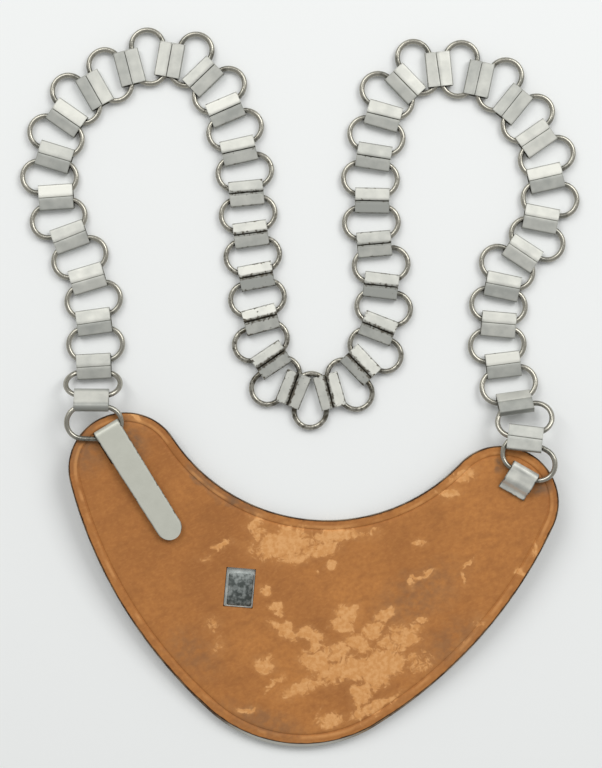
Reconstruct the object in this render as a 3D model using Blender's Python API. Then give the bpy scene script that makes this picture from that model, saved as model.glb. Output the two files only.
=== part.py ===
"""Steel gorget with its neck chain, lying face down on a flat surface.

A thin pressed steel shell, bent to the chest, holds a leatherboard backing inside its turned-up
rim. A long spring prong and a short tab fold out of the board at the two horns, each round the
end ring of the chain. The chain is wire rings in folded plates, laid in two loops.

Metres and degrees, +Z up. The gorget's mirror line runs along Y, with its neck towards +Y, and
until everything is moved at the end the origin is the lowest point of the neck on the floor.
"""

import math

import bmesh
import bpy
from mathutils import Euler, Matrix, Vector

# One half of the board's outline, from the middle of the neck round the horn to the point
NECK_RADIUS = 0.0620
NECK_ANGLE = 51.8
HORN_RADIUS = 0.0181
HORN_ANGLE = 160.8
FLANK_RADIUS = 0.1517
FLANK_ANGLE = 34.1
NECK_SIDES = 7
HORN_SIDES = 13
FLANK_SIDES = 8
POINT_SIDES = 4

# The whole gorget is bent about a line along Y, so that both horns stand off the floor
CHEST_RADIUS = 0.45
BEND_STEP = 0.009

SHELL_SHEET = 0.0009
RIM_SHEET = 0.0004
RIM_BELOW_BOARD = 0.0002
FACE_EDGE_RADIUS = 0.0010
SHELL_LONGER_AT_POINT = 0.0008

BOARD_THICKNESS = 0.0020
BOARD_EDGE_GAP = 0.0002
CLEARANCE = 0.0003
GROOVE_FROM_EDGE = 0.0027
GROOVE_WIDTH = 0.0008
GROOVE_DEPTH = 0.0004

WINDOW_CENTRE = (-0.0216, -0.0243)
WINDOW_WIDTH = 0.0099
WINDOW_HEIGHT = 0.0133
WINDOW_PLATE_SHEET = 0.0005
PAD_WIDTH = 0.0082
PAD_HEIGHT = 0.0108
PAD_RAISE = 0.0003

STRIP_SHEET = 0.0007
STRIP_FOLD_ROOM = 0.0026
FOLD_SIDES = 5
LEAF_NARROWER = 0.0034
SLOT_SIDE_ROOM = 0.0010

PRONG_FOLD = (-0.07045, 0.0261)
PRONG_HEADING = -53.4
PRONG_LENGTH = 0.0441
PRONG_FOLD_WIDTH = 0.0092
PRONG_WIDTH = 0.0091
PRONG_TIP_WIDTH = 0.0085
PRONG_TIP_DROP = 0.0011
PRONG_SLOT_LENGTH = 0.0120
PRONG_SLOT_WIDER = 0.0013

TAB_FOLD = (0.0699, 0.0247)
TAB_HEADING = -115.0
TAB_LENGTH = 0.0101
TAB_WIDTH = 0.0096
TAB_FOOT = 0.0018

WIRE_DIAMETER = 0.00175
RING_LENGTH = 0.0199
RING_BAR_SPACING = 0.0108
RING_SIDES = 12
WIRE_SIDES = 5

PLATE_WIDTH = 0.0115
PLATE_LENGTH = 0.0086
PLATE_SHEET = 0.0007
PLATE_ROOM = 0.0019
PLATE_CORNER = 0.0006
SEAM_WIDTH = 0.00035
BAR_SINKS = 0.00026
END_BAR_REACH = 0.0020
RING_DRIFT_PER_DEGREE = 0.000085
RING_STEPS = 8

# Where the middle of each folded plate lies and which way the chain runs there, from the prong
# to the tab: x, y, heading. These are the chain's route, chosen by hand.
CHAIN_ROUTE = (
    (-0.0759, 0.0342, 98),
    (-0.0770, 0.0453, 98),
    (-0.0783, 0.0602, 103),
    (-0.0817, 0.0745, 112),
    (-0.0889, 0.0879, 115),
    (-0.0947, 0.1008, 99),
    (-0.0964, 0.1142, 78),
    (-0.0935, 0.1277, 60),
    (-0.0850, 0.1378, 35),
    (-0.0740, 0.1464, 20),
    (-0.0608, 0.1501, -5),
    (-0.0491, 0.1455, -41),
    (-0.0406, 0.1350, -62),
    (-0.0349, 0.1218, -72),
    (-0.0311, 0.1078, -79),
    (-0.0284, 0.0942, -77),
    (-0.0253, 0.0803, -74),
    (-0.0225, 0.0660, -70),
    (-0.0178, 0.0528, -51),
    (-0.0096, 0.0436, -17),
    (0.0026, 0.0441, 21),
    (0.0122, 0.0538, 49),
    (0.0170, 0.0666, 74),
    (0.0167, 0.0809, 88),
    (0.0132, 0.0946, 100),
    (0.0112, 0.1091, 94),
    (0.0104, 0.1238, 86),
    (0.0124, 0.1378, 79),
    (0.0188, 0.1492, 49),
    (0.0296, 0.1550, 11),
    (0.0433, 0.1530, -7),
    (0.0553, 0.1456, -34),
    (0.0642, 0.1348, -50),
    (0.0686, 0.1218, -72),
    (0.0682, 0.1080, -96),
    (0.0631, 0.0959, -118),
    (0.0574, 0.0843, -97),
    (0.0572, 0.0714, -90),
    (0.0600, 0.0580, -78),
    (0.0648, 0.0456, -77),
    (0.0685, 0.0342, -93),
)
# The plates that hang between the floor and the horns: height of the middle as a share of the
# height of an end ring's bar, slope along the chain and lean to its left side. Every other plate
# lies flat on the floor.
LIFTED_PLATES = {
    0: (0.94, -42, 5),
    39: (0.45, 43, 0),
    40: (1.04, 12, 8),
}
TURNED_PLATES = (0,)
# The end rings, round the prong and through the tab: x, y, heading
FIRST_RING = (-0.0742, 0.0267, 92)
LAST_RING = (0.0703, 0.0275, -113)
FIRST_PLATE_ON_THE_RIGHT = 15

BOARD_BOTTOM = SHELL_SHEET + CLEARANCE
BOARD_TOP = BOARD_BOTTOM + BOARD_THICKNESS
RIM_TOP = BOARD_TOP - RIM_BELOW_BOARD
WIRE_RADIUS = WIRE_DIAMETER / 2
FOLD_RADIUS = (STRIP_FOLD_ROOM + STRIP_SHEET) / 2
LOWER_LEAF = BOARD_TOP - STRIP_SHEET / 2
UPPER_LEAF = LOWER_LEAF + 2 * FOLD_RADIUS
FOLD_MIDDLE = FOLD_RADIUS + STRIP_SHEET / 2
WIRE_OVER_BOARD = LOWER_LEAF + FOLD_RADIUS
PLATE_THICKNESS = PLATE_ROOM + 2 * PLATE_SHEET
SHELL_INSIDE = -(BOARD_EDGE_GAP)
SHELL_OUTSIDE = SHELL_INSIDE - RIM_SHEET


def clear_scene():
    for obj in list(bpy.data.objects):
        bpy.data.objects.remove(obj, do_unlink=True)


def new_collection(name):
    collection = bpy.data.collections.new(name)
    bpy.context.scene.collection.children.link(collection)
    return collection


def material(name, colour, metallic, roughness):
    made = bpy.data.materials.new(name)
    made.use_nodes = True
    shader = made.node_tree.nodes["Principled BSDF"]
    shader.inputs["Base Color"].default_value = (*colour, 1)
    shader.inputs["Metallic"].default_value = metallic
    shader.inputs["Roughness"].default_value = roughness
    return made


def bend_height(x):
    """How far the bent gorget stands off the floor at this distance from its mirror line."""
    return CHEST_RADIUS - math.sqrt(CHEST_RADIUS**2 - x**2)


def bar_height(x):
    """Height of a ring's bar that lies in a fold over the board, this far from the mirror line."""
    return bend_height(x) + WIRE_OVER_BOARD


def bend(bm):
    for vert in bm.verts:
        vert.co.z += bend_height(vert.co.x)


def cut_for_bending(bm, reach):
    """Edges across the faces every few millimetres, so that flat faces can follow the bend."""
    count = math.ceil(reach / BEND_STEP)
    for i in range(-count, count + 1):
        geometry = bm.verts[:] + bm.edges[:] + bm.faces[:]
        bmesh.ops.bisect_plane(
            bm, geom=geometry, plane_co=(i * BEND_STEP, 0, 0), plane_no=(1, 0, 0)
        )


def add_object(bm, name, collection, finish=None):
    bmesh.ops.recalc_face_normals(bm, faces=bm.faces)
    mesh = bpy.data.meshes.new(name)
    bm.to_mesh(mesh)
    bm.free()
    obj = bpy.data.objects.new(name, mesh)
    collection.objects.link(obj)
    if finish:
        mesh.materials.append(finish)
    return obj


def loft(loops):
    """A closed body through loops of equally many points, its first and last loop filled."""
    bm = bmesh.new()
    rows = [[bm.verts.new(point) for point in loop] for loop in loops]
    for low, high in zip(rows, rows[1:]):
        for i in range(len(low)):
            bm.faces.new((low[i - 1], low[i], high[i], high[i - 1]))
    bm.faces.new(rows[0])
    bm.faces.new(rows[-1])
    return bm


def arc_points(start, heading, radius, angle, sides):
    """Points after the start along an arc that turns left for a positive angle, in radians."""
    turn = math.copysign(1, angle)
    centre = start + turn * radius * Vector((-math.sin(heading), math.cos(heading)))
    points = []
    for i in range(1, sides + 1):
        now = heading + angle * i / sides
        points.append(centre + turn * radius * Vector((math.sin(now), -math.cos(now))))
    return points


def half_outline(inset):
    """From the middle of the neck round the right horn to the point, drawn in by inset."""
    neck = math.radians(NECK_ANGLE)
    horn = math.radians(HORN_ANGLE)
    flank = math.radians(FLANK_ANGLE)
    points = [Vector((0, -inset))]
    points += arc_points(points[-1], 0, NECK_RADIUS + inset, neck, NECK_SIDES)
    points += arc_points(points[-1], neck, HORN_RADIUS - inset, -horn, HORN_SIDES)
    points += arc_points(points[-1], neck - horn, FLANK_RADIUS - inset, -flank, FLANK_SIDES)
    heading = neck - horn - flank
    # The point's arc has its centre on the mirror line, so that the two halves meet smoothly.
    radius = -points[-1].x / math.sin(heading)
    points += arc_points(points[-1], heading, radius, -math.pi - heading, POINT_SIDES)
    points[-1].x = 0
    return points


def outline(inset, height, longer=0):
    """The whole outline at a height, with its lower part drawn out towards the point."""
    right = half_outline(inset)
    left = [Vector((-p.x, p.y)) for p in right[-2:0:-1]]
    depth = -right[-1].y
    loop = []
    for p in right + left:
        reach = max(0, -p.y / depth)
        loop.append(Vector((p.x, p.y - longer * reach**4, height)))
    return loop


def horn_reach():
    return max(p.x for p in half_outline(SHELL_OUTSIDE))


def rectangle(centre, width, height, z, heading=0):
    turn = Matrix.Rotation(math.radians(heading), 3, "Z")
    corners = ((-1, -1), (1, -1), (1, 1), (-1, 1))
    middle = Vector((*centre, z))
    return [middle + turn @ Vector((x * width / 2, y * height / 2, 0)) for x, y in corners]


def front_shell(collection):
    longer = SHELL_LONGER_AT_POINT
    edge = FACE_EDGE_RADIUS
    bm = loft(
        (
            outline(SHELL_OUTSIDE + edge, 0, longer),
            outline(SHELL_OUTSIDE + 0.3 * edge, 0.3 * edge, longer),
            outline(SHELL_OUTSIDE, edge, longer),
            outline(SHELL_OUTSIDE, RIM_TOP, longer),
            outline(SHELL_INSIDE, RIM_TOP, longer),
            outline(SHELL_INSIDE, SHELL_SHEET, longer),
        )
    )
    cut_for_bending(bm, horn_reach())
    bend(bm)
    return add_object(bm, "front_shell", collection, material("steel", (0.42, 0.43, 0.42), 1, 0.4))


def backing_board(collection, cutters):
    groove_outer = GROOVE_FROM_EDGE - GROOVE_WIDTH / 2
    groove_inner = GROOVE_FROM_EDGE + GROOVE_WIDTH / 2
    bm = loft(
        (
            outline(0, BOARD_BOTTOM),
            outline(0, BOARD_TOP),
            outline(groove_outer, BOARD_TOP),
            outline(GROOVE_FROM_EDGE, BOARD_TOP - GROOVE_DEPTH),
            outline(groove_inner, BOARD_TOP),
        )
    )
    cut_for_bending(bm, horn_reach())
    bend(bm)
    board = add_object(
        bm, "backing_board", collection, material("leatherboard", (0.33, 0.14, 0.05), 0, 0.65)
    )
    cut(board, box_cutter("window_cutter", WINDOW_CENTRE, WINDOW_WIDTH, WINDOW_HEIGHT, 0, cutters))
    prong_room = PRONG_FOLD_WIDTH - LEAF_NARROWER + 2 * SLOT_SIDE_ROOM
    tab_room = TAB_WIDTH - LEAF_NARROWER + 2 * SLOT_SIDE_ROOM
    for name, fold, heading, length, width, wider in (
        ("prong_slot", PRONG_FOLD, PRONG_HEADING, PRONG_SLOT_LENGTH, prong_room, PRONG_SLOT_WIDER),
        ("tab_slot", TAB_FOLD, TAB_HEADING, tab_slot_length(), tab_room, 0),
    ):
        middle = along(fold, heading, length / 2, -wider / 2)
        cut(board, box_cutter(name, middle, length, width + wider, heading, cutters))
    return board


def tab_slot_length():
    """The tab covers its slot, while the prong's slot shows beside the prong."""
    return TAB_LENGTH - TAB_FOOT - CLEARANCE


def along(start, heading, distance, aside):
    """A point this far along the heading from the start, and this far to its left."""
    moved = Matrix.Rotation(math.radians(heading), 2) @ Vector((distance, aside))
    return (start[0] + moved.x, start[1] + moved.y)


def box_cutter(name, centre, width, height, heading, cutters):
    low = SHELL_SHEET / 2
    high = bend_height(horn_reach()) + 2 * BOARD_TOP
    loops = [rectangle(centre, width, height, z, heading) for z in (low, high)]
    cutter = add_object(loft(loops), name, cutters)
    cutter.hide_render = True
    cutter.display_type = "WIRE"
    return cutter


def cut(target, cutter):
    modifier = target.modifiers.new(cutter.name, "BOOLEAN")
    modifier.operation = "DIFFERENCE"
    modifier.object = cutter


def window_plate(collection):
    """A small steel plate on the shell, with a raised pad in its lower right corner."""
    width = WINDOW_WIDTH - 2 * CLEARANCE
    height = WINDOW_HEIGHT - 2 * CLEARANCE
    low = SHELL_SHEET + CLEARANCE
    middle = low + WINDOW_PLATE_SHEET
    top = middle + PAD_RAISE
    corner = (width - PAD_WIDTH) / 2 - CLEARANCE
    drop = (height - PAD_HEIGHT) / 2 - CLEARANCE
    pad = (WINDOW_CENTRE[0] + corner, WINDOW_CENTRE[1] - drop)
    bm = loft(
        (
            rectangle(WINDOW_CENTRE, width, height, low),
            rectangle(WINDOW_CENTRE, width, height, middle),
            rectangle(pad, PAD_WIDTH, PAD_HEIGHT, middle),
            rectangle(pad, PAD_WIDTH, PAD_HEIGHT, top),
        )
    )
    bend(bm)
    finish = material("worn_steel", (0.16, 0.17, 0.17), 1, 0.5)
    return add_object(bm, "window_plate", collection, finish)


def fold_path(leaf_length, fold_width):
    """Path and widths of a strip that rises out of its slot and folds back over itself.

    The path holds distance and height. The leaf stays narrower than the fold until it is clear of
    the board, so that the fold hides its slot.
    """
    foot = SHELL_SHEET + CLEARANCE + STRIP_SHEET / 2
    path = [(leaf_length, foot), (0.72 * leaf_length, foot), (FOLD_MIDDLE, LOWER_LEAF)]
    for i in range(1, FOLD_SIDES + 1):
        angle = math.pi * i / FOLD_SIDES
        distance = FOLD_MIDDLE - FOLD_RADIUS * math.sin(angle)
        path.append((distance, WIRE_OVER_BOARD - FOLD_RADIUS * math.cos(angle)))
    in_slot = BOARD_TOP + CLEARANCE
    widths = [fold_width - LEAF_NARROWER * (height < in_slot) for _, height in path]
    return path, widths


def folded_strip(name, fold, heading, path, widths, collection, finish):
    """A flat strip that follows the path, with its own width at each point of it."""
    loops = []
    for i, (distance, height) in enumerate(path):
        before = Vector(path[max(i - 1, 0)])
        after = Vector(path[min(i + 1, len(path) - 1)])
        way = (after - before).normalized()
        normal = Vector((-way.y, way.x)) * STRIP_SHEET / 2
        loop = []
        for side, across in ((-1, -1), (-1, 1), (1, 1), (1, -1)):
            spot = Vector((distance, height)) + side * normal
            loop.append(Vector((spot.x, across * widths[i] / 2, spot.y)))
        loops.append(loop)
    bm = loft(loops)
    place = Matrix.Translation((*fold, 0)) @ Matrix.Rotation(math.radians(heading), 4, "Z")
    bm.transform(place)
    bend(bm)
    return add_object(bm, name, collection, finish)


def long_prong(collection, finish):
    path, widths = fold_path(PRONG_SLOT_LENGTH - CLEARANCE, PRONG_FOLD_WIDTH)
    straight = PRONG_LENGTH - FOLD_MIDDLE
    tip_radius = PRONG_TIP_WIDTH / 2
    # Share of the straight length, then share of the round tip that the width follows
    for share in (0.06, 0.25, 0.45, 0.65):
        path.append((FOLD_MIDDLE + share * straight, UPPER_LEAF - share * PRONG_TIP_DROP))
        widths.append(PRONG_WIDTH + share * (PRONG_TIP_WIDTH - PRONG_WIDTH))
    for degrees in (0, 25, 45, 62, 76, 85):
        angle = math.radians(degrees)
        distance = PRONG_LENGTH - tip_radius * (1 - math.sin(angle))
        share = (distance - FOLD_MIDDLE) / straight
        path.append((distance, UPPER_LEAF - share * PRONG_TIP_DROP))
        widths.append(PRONG_TIP_WIDTH * math.cos(angle))
    return folded_strip("long_prong", PRONG_FOLD, PRONG_HEADING, path, widths, collection, finish)


def short_tab(collection, finish):
    path, widths = fold_path(tab_slot_length() - CLEARANCE, TAB_WIDTH)
    foot = BOARD_TOP + CLEARANCE + STRIP_SHEET / 2
    step = TAB_LENGTH - TAB_FOOT
    path += [
        (0.75 * step, UPPER_LEAF),
        (0.88 * step, UPPER_LEAF - 0.25 * (UPPER_LEAF - foot)),
        (step, foot + 0.1 * (UPPER_LEAF - foot)),
        (step + 0.2 * TAB_FOOT, foot),
        (TAB_LENGTH, foot),
    ]
    widths += [TAB_WIDTH] * (len(path) - len(widths))
    return folded_strip("short_tab", TAB_FOLD, TAB_HEADING, path, widths, collection, finish)


def folded_plate():
    """A strip folded flat round two bars, its ends meeting at a seam on the upper side."""
    half = PLATE_LENGTH / 2
    inner = half - PLATE_SHEET
    top = PLATE_THICKNESS / 2
    room = PLATE_ROOM / 2
    seam = SEAM_WIDTH / 2
    right = [(inner, -room), (inner, room), (seam, room), (seam, top)]
    right += [(half - PLATE_CORNER, top), (half, top - PLATE_CORNER)]
    right += [(half, PLATE_CORNER - top), (half - PLATE_CORNER, -top)]
    section = right + [(-x, z) for x, z in reversed(right)]
    return loft([Vector((x, side * PLATE_WIDTH / 2, z)) for x, z in section] for side in (-1, 1))


def wire_ring():
    """A torus whose two halves are drawn apart, which leaves a straight bar on each side."""
    half_side = math.pi / RING_SIDES
    major = RING_BAR_SPACING / 2 / math.cos(half_side)
    bpy.ops.mesh.primitive_torus_add(
        major_segments=RING_SIDES,
        minor_segments=WIRE_SIDES,
        major_radius=major,
        minor_radius=WIRE_RADIUS,
    )
    torus = bpy.context.object
    bm = bmesh.new()
    bm.from_mesh(torus.data)
    bpy.data.objects.remove(torus, do_unlink=True)
    bm.transform(Matrix.Rotation(half_side, 4, "Z"))
    widest = max(vert.co.y for vert in bm.verts)
    for vert in bm.verts:
        vert.co.y += math.copysign(RING_LENGTH / 2 - widest, vert.co.y)
    return bm


def placed(centre, heading, slope, lean):
    turn = Euler((math.radians(lean), -math.radians(slope), math.radians(heading)), "XYZ")
    return Matrix.Translation(centre) @ turn.to_matrix().to_4x4()


def plate_places():
    """Middle, heading, slope and lean of every plate."""
    places = []
    for i, (x, y, heading) in enumerate(CHAIN_ROUTE):
        height, slope, lean = PLATE_THICKNESS / 2, 0, 0
        if i in LIFTED_PLATES:
            share, slope, lean = LIFTED_PLATES[i]
            height = share * bar_height(x)
        places.append((Vector((x, y, height)), heading, slope, lean))
    return places


def bar_spot(place, reach, seated=True):
    """Middle of a ring's bar inside a plate, sunk into the sheet under it where it is fused."""
    drop = PLATE_ROOM / 2 - WIRE_RADIUS + BAR_SINKS if seated else 0
    return placed(*place) @ Vector((reach, 0, -drop))


def turn_between(first, second):
    return (second - first + 180) % 360 - 180


def slope_between(first, second):
    return math.degrees(math.asin((second.z - first.z) / RING_BAR_SPACING))


def ring_between(before, after, seated):
    """A ring with one bar in each of two plates, a little outside them where the chain turns."""
    reach = 0
    for _ in range(RING_STEPS):
        first = bar_spot(before, reach, seated)
        second = bar_spot(after, -reach)
        reach += ((second - first).length - RING_BAR_SPACING) / 2
    joined = second - first
    turn = turn_between(before[1], after[1])
    chord = math.degrees(math.atan2(joined.y, joined.x))
    heading = chord + turn_between(chord, before[1] + turn / 2) / 2
    left = Vector((-math.sin(math.radians(heading)), math.cos(math.radians(heading)), 0))
    middle = (first + second) / 2 - RING_DRIFT_PER_DEGREE * turn * left
    return middle, heading, slope_between(first, second), (before[3] + after[3]) / 2


def end_ring(place, plate, towards):
    """The ring at a horn, with one bar over the board and the other in the chain's end plate."""
    x, y, heading = place
    way = math.radians(heading)
    at_horn = Vector((x, y, 0)) - towards * RING_BAR_SPACING / 2 * Vector(
        (math.cos(way), math.sin(way), 0)
    )
    at_horn.z = bar_height(at_horn.x)
    in_plate = bar_spot(plate, -towards * END_BAR_REACH)
    slope = towards * slope_between(at_horn, in_plate)
    lean = math.degrees(math.asin(-math.sin(way) * x / CHEST_RADIUS))
    return Vector((x, y, (at_horn.z + in_plate.z) / 2)), heading, slope, lean


def ring_places(plates):
    """Middle, heading, slope and lean of the rings, from the prong's to the tab's."""
    places = [end_ring(FIRST_RING, plates[0], 1)]
    for i, (before, after) in enumerate(zip(plates, plates[1:]), start=1):
        places.append(ring_between(before, after, i != FIRST_PLATE_ON_THE_RIGHT))
    return places + [end_ring(LAST_RING, plates[-1], -1)]


def joined_copies(source, matrices, name, collection, finish=None):
    """One object with a copy of the shape at each place."""
    mesh = bpy.data.meshes.new(name)
    source.to_mesh(mesh)
    source.free()
    bm = bmesh.new()
    for matrix in matrices:
        start = len(bm.verts)
        bm.from_mesh(mesh)
        bm.verts.ensure_lookup_table()
        bmesh.ops.transform(bm, matrix=matrix, verts=bm.verts[start:])
    bpy.data.meshes.remove(mesh)
    return add_object(bm, name, collection, finish)


def chain(name, rings, plates, flipped, collection, cutters, finish):
    """A stretch of chain, its rings fused with the plates that hold them."""
    over = Matrix.Rotation(math.pi, 4, "X")
    plate_matrices = []
    for number, place in plates:
        plate_matrices.append(placed(*place) @ (over if number in flipped else Matrix()))
    body = joined_copies(folded_plate(), plate_matrices, name, collection, finish)
    wires = joined_copies(wire_ring(), [placed(*place) for place in rings], name + "_rings", cutters)
    wires.hide_render = True
    wires.display_type = "WIRE"
    fuse = body.modifiers.new("fuse_rings", "BOOLEAN")
    fuse.operation = "UNION"
    fuse.object = wires
    fuse.use_self = True
    return body


def stand_on_floor(parts, parent):
    """Moves the parent so that the origin is in the middle of the part's box, at its base."""
    bpy.context.view_layer.update()
    graph = bpy.context.evaluated_depsgraph_get()
    corners = []
    for part in parts:
        evaluated = part.evaluated_get(graph)
        corners += [part.matrix_world @ Vector(corner) for corner in evaluated.bound_box]
    low = [min(corner[axis] for corner in corners) for axis in range(3)]
    high = [max(corner[axis] for corner in corners) for axis in range(3)]
    parent.location = (-(low[0] + high[0]) / 2, -(low[1] + high[1]) / 2, -low[2])


def main():
    clear_scene()
    parts = new_collection("steel_gorget")
    cutters = new_collection("gorget_cutters")
    paint = material("silver_paint", (0.55, 0.56, 0.55), 0.3, 0.45)
    plates = plate_places()
    rings = ring_places(plates)
    split = FIRST_PLATE_ON_THE_RIGHT
    numbered = list(enumerate(plates))
    nodes = [
        front_shell(parts),
        backing_board(parts, cutters),
        window_plate(parts),
        long_prong(parts, paint),
        short_tab(parts, paint),
        chain("chain_left", rings[:split], numbered[:split], TURNED_PLATES, parts, cutters, paint),
        chain("chain_right", rings[split:], numbered[split:], TURNED_PLATES, parts, cutters, paint),
    ]
    parent = bpy.data.objects.new("steel_gorget", None)
    parts.objects.link(parent)
    for obj in nodes + list(cutters.objects):
        obj.parent = parent
    stand_on_floor(nodes, parent)


main()
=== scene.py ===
# %% [markdown]
# # A steel gorget, lying face down
#
# This scene dresses a steel gorget: a crescent of pressed steel that hung on the chest from a
# chain. It lies face down, so we see its leatherboard back, the spring prong and the tab that
# hold the chain, and the chain itself, laid in two loops.
#
# The solids are already made and packed, at their real size. Here each one gets a finer surface
# and its finish. Everything is in metres, in the same frame as the solids.

# %% Load the solids
import math

import bmesh
import bpy
from mathutils import Euler, Matrix, Vector, noise


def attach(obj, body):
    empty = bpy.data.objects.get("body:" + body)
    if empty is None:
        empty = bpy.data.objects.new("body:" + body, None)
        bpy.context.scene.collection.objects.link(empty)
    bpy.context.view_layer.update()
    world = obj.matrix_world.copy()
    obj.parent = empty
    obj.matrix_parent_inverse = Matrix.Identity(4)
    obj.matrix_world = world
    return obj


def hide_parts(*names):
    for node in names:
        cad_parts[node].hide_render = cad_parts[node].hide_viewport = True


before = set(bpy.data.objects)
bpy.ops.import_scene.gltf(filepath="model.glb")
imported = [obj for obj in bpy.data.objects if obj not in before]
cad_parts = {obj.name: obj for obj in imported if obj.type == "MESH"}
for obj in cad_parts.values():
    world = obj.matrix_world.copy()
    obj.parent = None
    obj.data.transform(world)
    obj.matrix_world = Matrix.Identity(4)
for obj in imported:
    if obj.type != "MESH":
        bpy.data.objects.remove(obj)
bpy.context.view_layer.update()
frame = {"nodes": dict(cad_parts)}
print("solids:", ", ".join(frame["nodes"]))

# %% [markdown]
# ## Two small helpers for materials
#
# Colours are written as they look on a screen, in hex. Blender wants them linear, so one function
# turns one into the other. Another function adds a shader node: give it a node's kind and its
# settings, and a setting that is another node's output becomes a link.

# %% Colour and node helpers


def linear(hex_colour):
    """An sRGB hex colour as the linear red, green, blue and alpha that Blender's sockets take."""
    values = [int(hex_colour[i : i + 2], 16) / 255 for i in (1, 3, 5)]
    return [v / 12.92 if v <= 0.04045 else ((v + 0.055) / 1.055) ** 2.4 for v in values] + [1]


def add(tree, kind, settings):
    """Adds a node. A setting is a socket's value, a link from an output, or a property."""
    node = tree.nodes.new("ShaderNode" + kind)
    for name, value in settings.items():
        if isinstance(value, bpy.types.NodeSocket):
            tree.links.new(value, node.inputs[name])
        elif isinstance(name, int) or name in node.inputs:
            node.inputs[name].default_value = value
        else:
            setattr(node, name, value)
    return node


# %% [markdown]
# ## Measuring in millimetres inside a material
#
# Grain, pits and scuffs have real sizes, so each material first turns its coordinates into
# millimetres. A noise with a scale of 1/3 then has lumps about 3 mm across.

# %% Start a material


def start(name, roughness, metallic=0.0):
    """A new material, its nodes, its shader and its coordinates in millimetres."""
    made = bpy.data.materials.new(name)
    made.use_nodes = True
    tree = made.node_tree
    shader = tree.nodes["Principled BSDF"]
    shader.inputs["Roughness"].default_value = roughness
    shader.inputs["Metallic"].default_value = metallic
    place = add(tree, "TexCoord", {}).outputs["Object"]
    scaled = add(tree, "VectorMath", {"operation": "SCALE", 0: place, "Scale": 1000.0})
    return made, tree, shader, scaled.outputs[0]


# %% [markdown]
# ## Recipes for patterns
#
# A pattern is worked out like a sum. Noise gives grey lumps, a ramp sets how hard their contrast
# is, and a mix lays one colour over another where the pattern is white. These short functions add
# the nodes for that, so that each material below reads like a recipe.

# %% Pattern helpers


def noise_at(tree, place, size, detail, **more):
    """Grey noise with lumps of this size in millimetres."""
    settings = {"Vector": place, "Scale": 1 / size, "Detail": detail, **more}
    return add(tree, "TexNoise", settings).outputs["Fac"]


def ramp(tree, value, low, high, most=1.0):
    """0 where the value is low, rising to most where it is high."""
    return add(tree, "MapRange", {0: value, 1: low, 2: high, 4: most}).outputs[0]


def noise_between(tree, place, size, low, high, detail=4.0, most=1.0):
    """Noise with its own ramp: 0 under its low value, most over its high one."""
    return ramp(tree, noise_at(tree, place, size, detail), low, high, most)


def calculate(tree, operation, *values, kind="Math"):
    """The result of one sum with numbers, or with vectors where the kind is VectorMath."""
    return add(tree, kind, {"operation": operation, **dict(enumerate(values))}).outputs[0]


def mix(tree, factor, first, second):
    """One colour, then the other where the factor is 1."""
    settings = {"data_type": "RGBA", 0: factor, 6: first, 7: second}
    return add(tree, "Mix", settings).outputs[2]


def mesh_number(tree, name):
    """A number that the mesh carries at each of its points."""
    return add(tree, "Attribute", {"attribute_name": name}).outputs["Fac"]


def emboss(tree, shader, height, strength, depth):
    """Lets a grey pattern raise and lower the surface by about this depth in metres."""
    bump = add(tree, "Bump", {"Height": height, "Strength": strength, "Distance": depth})
    tree.links.new(bump.outputs[0], shader.inputs["Normal"])


# %% [markdown]
# ## Leatherboard
#
# The back is leatherboard: leather fibre pressed with a binder into a stiff brown sheet, matt and
# a little mottled. Rubbing breaks its darker skin and shows paler fibre, so the scuffs are pale
# patches with torn edges.
#
# Each scuff is an ellipse on the board: its middle, half length and half width in millimetres,
# its angle in degrees and how badly it is rubbed. Noise tears the edges of the ellipses.

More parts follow.
